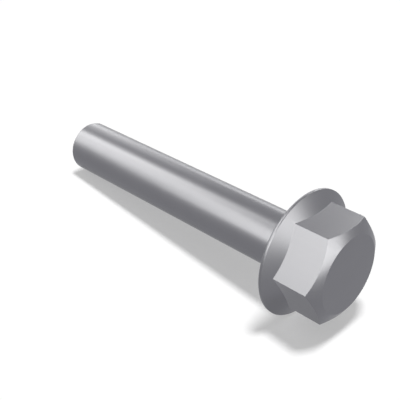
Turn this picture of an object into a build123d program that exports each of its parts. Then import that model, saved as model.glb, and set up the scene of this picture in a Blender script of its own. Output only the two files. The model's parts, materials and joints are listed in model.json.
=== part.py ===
from build123d import *
import math
import os

# Hexagon flange bolt, M8 x 45, in millimetres: one solid, cold-forged from a single piece of steel.
# It lies as it comes to rest, on the rim of its flange and the end of its shank.
# The origin is on that surface, below the middle of the bolt. +X points along the bolt towards
# its head, +Z points up, and one flat of the hexagon faces up.

# Shank
shank_diameter = 8.0
shank_length = 45.0
tip_chamfer = 0.2
neck_fillet = 0.4

# Flange
flange_diameter = 18.0
rim_height = 0.6
rim_fillet = 0.4
flange_slope = 25.0

# Hexagon head
across_flats = 13.0
head_height = 7.5
corner_fillet = 0.1
top_circle_diameter = 11.05
top_chamfer_angle = 30.0

shank_radius = shank_diameter / 2
flange_radius = flange_diameter / 2


def turned_body():
    """Shank and flange, turned about Z: the bearing face is at Z = 0 and the shank points down."""
    root_height = rim_height + (flange_radius - shank_radius) * math.tan(math.radians(flange_slope))
    shank_end = (shank_radius - tip_chamfer, -shank_length)
    shank_start = (shank_radius, tip_chamfer - shank_length)
    neck_start = (shank_radius, -neck_fillet)
    neck_end = (shank_radius + neck_fillet, 0)
    rim_start = (flange_radius - rim_fillet, 0)
    rim_end = (flange_radius, rim_fillet)
    rim_top = (flange_radius, rim_height)
    flange_root = (shank_radius, root_height)
    with BuildPart() as body:
        with BuildSketch(Plane.XZ):
            with BuildLine():
                Polyline((0, -shank_length), shank_end, shank_start, neck_start)
                RadiusArc(neck_start, neck_end, neck_fillet)
                Line(neck_end, rim_start)
                RadiusArc(rim_start, rim_end, -rim_fillet)
                Polyline(rim_end, rim_top, flange_root, (0, root_height), (0, -shank_length))
            make_face()
        revolve(axis=Axis.Z)
    return body.part


def hexagon_head():
    """Hexagon from inside the flange to the head's top, with its upper corners turned off to a cone."""
    cone_drop = (flange_radius - top_circle_diameter / 2) * math.tan(math.radians(top_chamfer_angle))
    with BuildPart() as head:
        with BuildSketch(Plane.XY.offset(rim_height)):
            RegularPolygon(across_flats / 2, 6, major_radius=False, rotation=30)
            fillet(vertices(), corner_fillet)
        extrude(amount=head_height - rim_height)
        with BuildSketch(Plane.XZ):
            with BuildLine():
                Polyline(
                    (0, 0),
                    (flange_radius, 0),
                    (flange_radius, head_height - cone_drop),
                    (top_circle_diameter / 2, head_height),
                    (0, head_height),
                    close=True,
                )
            make_face()
        revolve(axis=Axis.Z, mode=Mode.INTERSECT)
    return head.part


def resting_tilt():
    """Angle of the bolt's axis above the surface, in degrees, with the rim and the shank's end on it."""
    rise = flange_radius - rim_fillet - shank_radius
    run = rim_fillet + shank_length - tip_chamfer
    return 90 - math.degrees(math.acos(rim_fillet / math.hypot(rise, run)) - math.atan2(rise, run))


def lay_down(bolt):
    """The bolt turned to its resting place, over the origin."""
    laid = Rot(0, 90 - resting_tilt(), 0) * bolt
    box = laid.bounding_box()
    return Pos(-box.center().X, -box.center().Y, -box.min.Z) * laid


flange_bolt = lay_down(turned_body() + hexagon_head())
flange_bolt.label = "flange_bolt"

os.makedirs("parts", exist_ok=True)
export_step(flange_bolt, "parts/flange_bolt.step")
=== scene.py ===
import json
import math

import bmesh
import bpy
from mathutils import Matrix, Vector


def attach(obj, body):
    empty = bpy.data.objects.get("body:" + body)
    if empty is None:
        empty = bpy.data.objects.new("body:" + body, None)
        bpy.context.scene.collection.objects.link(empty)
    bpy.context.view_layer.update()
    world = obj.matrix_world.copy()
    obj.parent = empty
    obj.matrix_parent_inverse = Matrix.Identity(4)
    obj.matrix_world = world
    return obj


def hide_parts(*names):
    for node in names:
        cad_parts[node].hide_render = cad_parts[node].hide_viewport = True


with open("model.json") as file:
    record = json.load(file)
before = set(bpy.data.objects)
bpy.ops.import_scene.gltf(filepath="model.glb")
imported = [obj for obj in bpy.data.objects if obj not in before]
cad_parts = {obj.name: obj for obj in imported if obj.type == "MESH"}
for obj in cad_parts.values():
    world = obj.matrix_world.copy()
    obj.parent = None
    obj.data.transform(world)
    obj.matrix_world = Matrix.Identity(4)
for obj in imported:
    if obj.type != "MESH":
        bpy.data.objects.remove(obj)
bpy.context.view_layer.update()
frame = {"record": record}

# Hexagon flange bolt in satin steel, lying on the rim of its flange and the end of its shank.
# Blender works in metres; the bolt's own sizes are written in millimetres times MM.
MM = 0.001

# Shank
SHANK_RADIUS = 4.0 * MM
SHANK_LENGTH = 45.0 * MM
SHANK_END_CHAMFER = 0.2 * MM
NECK_FILLET = 0.4 * MM

# Flange
FLANGE_RADIUS = 9.0 * MM
RIM_HEIGHT = 0.6 * MM
RIM_FILLET = 0.4 * MM
FLANGE_SLOPE = math.radians(25)

# Hexagon head
ACROSS_FLATS = 13.0 * MM
HEAD_HEIGHT = 7.5 * MM
TOP_CIRCLE_RADIUS = 5.525 * MM
TOP_CHAMFER = math.radians(30)

# Edges and round surfaces
EDGE_BREAK = 0.03 * MM
SHARP_EDGE = math.radians(20)
ROUND_SIDES = 144
HALF_SIDE = math.pi / ROUND_SIDES
FILLET_STEPS = 6
EDGE_STEPS = 3
SAME_POINT = 0.001 * MM
RING_WIDTH = 0.01 * MM
END_FACE = 0.9
ORDER_LINE = Vector((1.0, 0.731, 0.317))

# Satin steel
DARK_STEEL = (0.152, 0.152, 0.167)
LIGHT_STEEL = (0.158, 0.158, 0.173)
STEEL_RIM = (0.80, 0.80, 0.82)
SATIN = 0.33
SATIN_SPREAD = 0.012
GRAIN_DEPTH = 0.00015 * MM
# Patterns in it: features to the metre, and detail
CLOUDS = (300, 4)
DRAWN_LINES = (3000, 3)
GRAIN = (9000, 2)
LINE_STRETCH = 0.03
PATTERN_ROUGHNESS = 0.55
PATTERN_LOW = 0.3
PATTERN_HIGH = 0.7
LINES_IN_TONE = 0.35
GRAIN_IN_GLOSS = 0.4
GRAIN_IN_RELIEF = 0.4

# Floor and light
FLOOR_SIZE = 4
FLOOR_WHITE = (0.98, 0.98, 0.98)
WHITE_TO_CAMERA = 0.37
WHITE_IN_STEEL = 0.75
SOFT_LIGHT = 0.2
OVERHEAD_LIGHT = 0.85
OVERHEAD_WIDTH = math.radians(12)
SOFTBOX_DISTANCE = 0.5
SOFTBOX_COLOUR = (1.0, 1.0, 0.92)
# Name, azimuth from +X, elevation, width and height in degrees, brightness
SOFTBOXES = (
    ("front_softbox", -16.5, 28.5, 86.5, 56.5, 4.4),
    ("left_softbox", -108, 26, 48, 37.5, 4.15),
    ("back_left_softbox", -156.5, 25.5, 30.5, 39, 3.7),
    ("right_softbox", 102.5, 31, 24.5, 21.5, 6.2),
    ("back_softbox", 154.5, 15, 25.5, 29.5, 1.9),
    ("high_back_softbox", -171, 39.5, 12.5, 37, 2.95),
    ("low_right_softbox", 112.5, 10, 79, 12, 3.6),
)

# Camera, by the bolt's own axis
CAMERA_AZIMUTH = math.radians(45.08)
CAMERA_ELEVATION = math.radians(29.99)
CAMERA_DISTANCE = 110.1 * MM
CAMERA_AIM = 19.05 * MM
CAMERA_FIELD = math.radians(29.96)
SENSOR_WIDTH = 36
NEAREST_SEEN = 1.0 * MM


def resting_place():
    """The bolt's axis towards its head, and the middle of its bearing face, from the record's shank."""
    shank = next(m for m in frame["record"]["mounts"] if m["name"] == "shank")
    axis = -Vector(shank["axis"])
    half_wall = shank["dims"]["length_mm"] / 2 * MM
    return axis, Vector(shank["pos_m"]) + axis * (half_wall + NECK_FILLET)


# The bolt is modelled upright, with its bearing face at height 0 and its head on top

def named(name):
    """The piece that was just added, under its own name, with its turn and place in its mesh."""
    piece = bpy.context.object
    piece.name = piece.data.name = name
    bpy.ops.object.transform_apply(location=True, rotation=True, scale=True)
    return piece


def select_end(piece, upper):
    """In edit mode, selects only the round face at the top of a piece, or the one at its foot."""
    bpy.ops.mesh.select_mode(type="FACE")
    bpy.ops.mesh.select_all(action="DESELECT")
    mesh = bmesh.from_edit_mesh(piece.data)
    for face in mesh.faces:
        facing = face.normal.z if upper else -face.normal.z
        face.select_set(facing > END_FACE)
    bmesh.update_edit_mesh(piece.data)


def draw_out(rise, growth=1):
    """Draws the selected face up by rise and widens or narrows it, which leaves a wall behind it."""
    bpy.ops.mesh.extrude_region_move(TRANSFORM_OT_translate={"value": (0, 0, rise)})
    bpy.ops.transform.resize(value=(growth, growth, 1))


def round_ring(piece, radius, height, size, steps):
    """In edit mode, rounds or chamfers the circular edge of that radius and height."""
    bpy.ops.mesh.select_mode(type="EDGE")
    bpy.ops.mesh.select_all(action="DESELECT")
    mesh = bmesh.from_edit_mesh(piece.data)
    for edge in mesh.edges:
        edge.select_set(all(
            abs(v.co.z - height) < RING_WIDTH and abs(v.co.xy.length - radius) < RING_WIDTH
            for v in edge.verts))
    bmesh.update_edit_mesh(piece.data)
    bpy.ops.mesh.bevel(offset=size, segments=steps, affect="EDGES")


def in_order(piece):
    """Puts a piece's faces in order along a line, so that each run makes the same mesh."""
    mesh = bmesh.new()
    mesh.from_mesh(piece.data)
    mesh.faces.sort(key=lambda face: ORDER_LINE.dot(face.calc_center_median()))
    mesh.to_mesh(piece.data)
    mesh.free()


def shank_and_flange():
    """Shank, bearing face, rim and sloping top of the flange, drawn out of one round bar."""
    bpy.ops.mesh.primitive_cylinder_add(
        vertices=ROUND_SIDES, radius=SHANK_RADIUS, depth=SHANK_LENGTH,
        location=(0, 0, -SHANK_LENGTH / 2), rotation=(0, 0, HALF_SIDE))
    blank = named("bolt")
    widen = FLANGE_RADIUS / SHANK_RADIUS
    slope_height = (FLANGE_RADIUS - SHANK_RADIUS) * math.tan(FLANGE_SLOPE)
    bpy.ops.object.mode_set(mode="EDIT")
    select_end(blank, upper=True)
    draw_out(0, widen)
    draw_out(RIM_HEIGHT)
    draw_out(slope_height, 1 / widen)
    round_ring(blank, SHANK_RADIUS, 0, NECK_FILLET, FILLET_STEPS)
    round_ring(blank, FLANGE_RADIUS, 0, RIM_FILLET, FILLET_STEPS)
    round_ring(blank, SHANK_RADIUS, -SHANK_LENGTH, SHANK_END_CHAMFER, 1)
    bpy.ops.object.mode_set(mode="OBJECT")
    in_order(blank)
    return blank


def hexagon_bar():
    """Six-sided bar from inside the flange to the head's top, with two flats facing along X."""
    foot = RIM_HEIGHT / 2
    bpy.ops.mesh.primitive_cylinder_add(
        vertices=6, radius=ACROSS_FLATS / 2 / math.cos(math.pi / 6), depth=HEAD_HEIGHT - foot,
        location=(0, 0, (HEAD_HEIGHT + foot) / 2))
    return named("hexagon")


def chamfered_round():
    """Round blank as wide as the flange, with the cone of the head's top chamfer turned on it."""
    drop = (FLANGE_RADIUS - TOP_CIRCLE_RADIUS) * math.tan(TOP_CHAMFER)
    bpy.ops.mesh.primitive_cone_add(
        vertices=ROUND_SIDES, radius1=FLANGE_RADIUS, radius2=TOP_CIRCLE_RADIUS, depth=drop,
        location=(0, 0, HEAD_HEIGHT - drop / 2), rotation=(0, 0, HALF_SIDE))
    blank = named("chamfer")
    bpy.ops.object.mode_set(mode="EDIT")
    select_end(blank, upper=False)
    draw_out(drop - HEAD_HEIGHT)
    bpy.ops.object.mode_set(mode="OBJECT")
    return blank


def finish_with(piece, kind, **settings):
    """Adds a modifier to a piece and applies it."""
    bpy.ops.object.select_all(action="DESELECT")
    piece.select_set(True)
    bpy.context.view_layer.objects.active = piece
    bpy.ops.object.modifier_add(type=kind)
    modifier = piece.modifiers[-1]
    for setting, value in settings.items():
        setattr(modifier, setting, value)
    bpy.ops.object.modifier_apply(modifier=modifier.name)


def combine(piece, other, operation):
    """Cuts a piece down to what it shares with another, or joins the other to it."""
    finish_with(piece, "BOOLEAN", operation=operation, solver="EXACT", object=other)
    bpy.data.objects.remove(other)


def make_bolt():
    """The whole bolt as one closed mesh, with its edges broken as tumbling leaves them."""
    bpy.ops.object.select_all(action="DESELECT")
    bolt = shank_and_flange()
    head = hexagon_bar()
    combine(head, chamfered_round(), "INTERSECT")
    combine(bolt, head, "UNION")
    bpy.ops.object.mode_set(mode="EDIT")
    bpy.ops.mesh.select_all(action="SELECT")
    bpy.ops.mesh.remove_doubles(threshold=SAME_POINT)
    bpy.ops.mesh.normals_make_consistent(inside=False)
    bpy.ops.object.mode_set(mode="OBJECT")
    finish_with(bolt, "BEVEL", limit_method="ANGLE", angle_limit=SHARP_EDGE, width=EDGE_BREAK,
                segments=EDGE_STEPS, use_clamp_overlap=False)
    bpy.ops.object.shade_smooth()
    finish_with(bolt, "WEIGHTED_NORMAL", keep_sharp=False)
    return bolt


def lay_down(bolt):
    """Turns the upright bolt to where the CAD has it, lying on its rim and its shank's end."""
    axis, bearing_face = resting_place()
    bolt.rotation_euler = (0, math.acos(axis.z), 0)
    bolt.location = bearing_face
    bpy.ops.object.transform_apply(location=True, rotation=True, scale=True)


# Materials

def node(tree, kind, sockets=None, **settings):
    """Adds a node. A socket takes a value, or the output of another node."""
    made = tree.nodes.new(kind)
    for setting, value in settings.items():
        setattr(made, setting, value)
    for socket, value in (sockets or {}).items():
        if isinstance(value, bpy.types.NodeSocket):
            tree.links.new(value, made.inputs[socket])
        else:
            made.inputs[socket].default_value = value
    return made


def empty_tree(holder):
    """The node tree of a material or world, with nothing in it."""
    holder.use_nodes = True
    holder.node_tree.nodes.clear()
    return holder.node_tree


def noise(tree, place, scale, detail):
    """Soft random pattern, with scale features to the metre."""
    return node(tree, "ShaderNodeTexNoise", {
        "Vector": place, "Scale": scale, "Detail": detail, "Roughness": PATTERN_ROUGHNESS,
    }).outputs["Fac"]


def blend(tree, first, second, share):
    """The first pattern, with a share of it replaced by the second."""
    return node(tree, "ShaderNodeMix", {
        0: share, 2: first, 3: second,
    }, data_type="FLOAT").outputs[0]


def satin_steel():
    """Even satin grey, faintly cloudy, with fine lines along the drawn wire and a finer grain."""
    material = bpy.data.materials.new("satin_steel")
    tree = empty_tree(material)
    axis, bearing_face = resting_place()
    place = node(tree, "ShaderNodeTexCoord").outputs["Object"]
    along_bolt = node(tree, "ShaderNodeMapping", {
        "Vector": place, "Location": bearing_face, "Rotation": (0, -math.asin(axis.z), 0),
    }, vector_type="TEXTURE").outputs["Vector"]
    drawn_out = node(tree, "ShaderNodeMapping", {
        "Vector": along_bolt, "Scale": (LINE_STRETCH, 1, 1),
    }).outputs["Vector"]
    clouds = noise(tree, along_bolt, *CLOUDS)
    lines = noise(tree, drawn_out, *DRAWN_LINES)
    grain = noise(tree, along_bolt, *GRAIN)
    tone = node(tree, "ShaderNodeValToRGB", {"Fac": blend(tree, clouds, lines, LINES_IN_TONE)})
    dark, light = tone.color_ramp.elements
    dark.position, dark.color = PATTERN_LOW, (*DARK_STEEL, 1)
    light.position, light.color = PATTERN_HIGH, (*LIGHT_STEEL, 1)
    roughness = node(tree, "ShaderNodeMapRange", {
        "Value": blend(tree, clouds, grain, GRAIN_IN_GLOSS),
        "From Min": PATTERN_LOW, "From Max": PATTERN_HIGH,
        "To Min": SATIN - SATIN_SPREAD, "To Max": SATIN + SATIN_SPREAD,
    }).outputs["Result"]
    relief = node(tree, "ShaderNodeBump", {
        "Height": blend(tree, lines, grain, GRAIN_IN_RELIEF),
        "Strength": 1.0, "Distance": GRAIN_DEPTH,
    }).outputs["Normal"]
    steel = node(tree, "ShaderNodeBsdfPrincipled", {
        "Base Color": tone.outputs["Color"], "Metallic": 1.0, "Roughness": roughness,
        "Specular Tint": (*STEEL_RIM, 1), "Normal": relief,
    })
    node(tree, "ShaderNodeOutputMaterial", {"Surface": steel.outputs["BSDF"]})
    return material


# Studio

def white_share(tree, to_camera, in_steel):
    """One share for what the camera sees, one for what steel mirrors, and 0 for matt surfaces."""
    ray = node(tree, "ShaderNodeLightPath").outputs
    seen = node(tree, "ShaderNodeMath", {0: ray["Is Camera Ray"], 1: to_camera},
                operation="MULTIPLY").outputs[0]
    mirrored = node(tree, "ShaderNodeMath", {
        0: ray["Is Glossy Ray"], 1: ray["Is Transmission Ray"],
    }, operation="MAXIMUM").outputs[0]
    return node(tree, "ShaderNodeMath", {0: mirrored, 1: in_steel, 2: seen},
                operation="MULTIPLY_ADD", use_clamp=True).outputs[0]


def studio_floor():
    """Plain white floor that the bolt lies on, and that keeps its shadow."""
    bpy.ops.object.select_all(action="DESELECT")
    bpy.ops.mesh.primitive_plane_add(size=FLOOR_SIZE)
    floor = bpy.context.object
    floor.name = "floor"
    paint = bpy.data.materials.new("white_floor")
    tree = empty_tree(paint)
    matt = node(tree, "ShaderNodeBsdfDiffuse", {"Color": (*FLOOR_WHITE, 1)}).outputs["BSDF"]
    white = node(tree, "ShaderNodeEmission", {"Color": (1, 1, 1, 1)}).outputs["Emission"]
    share = white_share(tree, WHITE_TO_CAMERA, WHITE_IN_STEEL)
    surface = node(tree, "ShaderNodeMixShader", {0: share, 1: matt, 2: white}).outputs["Shader"]
    node(tree, "ShaderNodeOutputMaterial", {"Surface": surface})
    floor.data.materials.append(paint)


def studio_surround():
    """White all round, to look at and in the steel. What it throws on matt surfaces is softer."""
    world = bpy.data.worlds.new("studio")
    tree = empty_tree(world)
    strength = node(tree, "ShaderNodeMapRange", {
        "Value": white_share(tree, to_camera=1, in_steel=1),
        "To Min": SOFT_LIGHT, "To Max": 1.0,
    }).outputs["Result"]
    white = node(tree, "ShaderNodeBackground", {"Color": (1, 1, 1, 1), "Strength": strength})
    node(tree, "ShaderNodeOutputWorld", {"Surface": white.outputs["Background"]})
    bpy.context.scene.world = world


def overhead_lamp():
    """Soft lamp straight above, which throws the shadow. It isn't mirrored in the steel."""
    lamp = bpy.data.lights.new("overhead", "SUN")
    lamp.energy = OVERHEAD_LIGHT * math.pi
    lamp.angle = OVERHEAD_WIDTH
    overhead = bpy.data.objects.new("overhead", lamp)
    overhead.visible_glossy = False
    bpy.context.scene.collection.objects.link(overhead)


def softbox(name, azimuth, elevation, width, height, brightness):
    """Bright panel that only the steel mirrors. The bolt keeps none of it from itself."""
    azimuth, elevation = math.radians(azimuth), math.radians(elevation)
    away = Vector((math.cos(elevation) * math.cos(azimuth),
                   math.cos(elevation) * math.sin(azimuth), math.sin(elevation)))
    lamp = bpy.data.lights.new(name, "AREA")
    lamp.shape = "RECTANGLE"
    lamp.size = 2 * SOFTBOX_DISTANCE * math.tan(math.radians(width) / 2)
    lamp.size_y = 2 * SOFTBOX_DISTANCE * math.tan(math.radians(height) / 2)
    lamp.energy = brightness * math.pi * lamp.size * lamp.size_y
    lamp.color = SOFTBOX_COLOUR
    lamp.use_shadow = False
    panel = bpy.data.objects.new(name, lamp)
    panel.location = away * SOFTBOX_DISTANCE + Vector((0, 0, FLANGE_RADIUS))
    panel.rotation_euler = away.to_track_quat("Z", "Y").to_euler()
    panel.visible_camera = False
    panel.visible_diffuse = False
    bpy.context.scene.collection.objects.link(panel)


def photo_camera():
    """Camera where the photo was taken from, level with the bolt's own axis."""
    axis, bearing_face = resting_place()
    side = Vector((0, 1, 0))
    upward = axis.cross(side)
    towards = math.cos(CAMERA_ELEVATION) * (
        math.sin(CAMERA_AZIMUTH) * axis - math.cos(CAMERA_AZIMUTH) * side)
    towards += math.sin(CAMERA_ELEVATION) * upward
    right = upward.cross(towards).normalized()
    lens = bpy.data.cameras.new("camera")
    lens.sensor_width = SENSOR_WIDTH
    lens.lens = SENSOR_WIDTH / 2 / math.tan(CAMERA_FIELD / 2)
    lens.clip_start = NEAREST_SEEN
    camera = bpy.data.objects.new("camera", lens)
    turn = Matrix((right, towards.cross(right), towards)).transposed().to_4x4()
    eye = bearing_face - axis * CAMERA_AIM + towards * CAMERA_DISTANCE
    camera.matrix_world = Matrix.Translation(eye) @ turn
    bpy.context.scene.collection.objects.link(camera)
    bpy.context.scene.camera = camera


bolt = make_bolt()
lay_down(bolt)
bolt.data.materials.append(satin_steel())
# In the photo the steel mirrors the studio, but not itself
bolt.visible_glossy = False
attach(bolt, "root")
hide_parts("flange_bolt")

studio_floor()
studio_surround()
overhead_lamp()
for panel in SOFTBOXES:
    softbox(*panel)
photo_camera()
bpy.context.scene.view_settings.view_transform = "Standard"
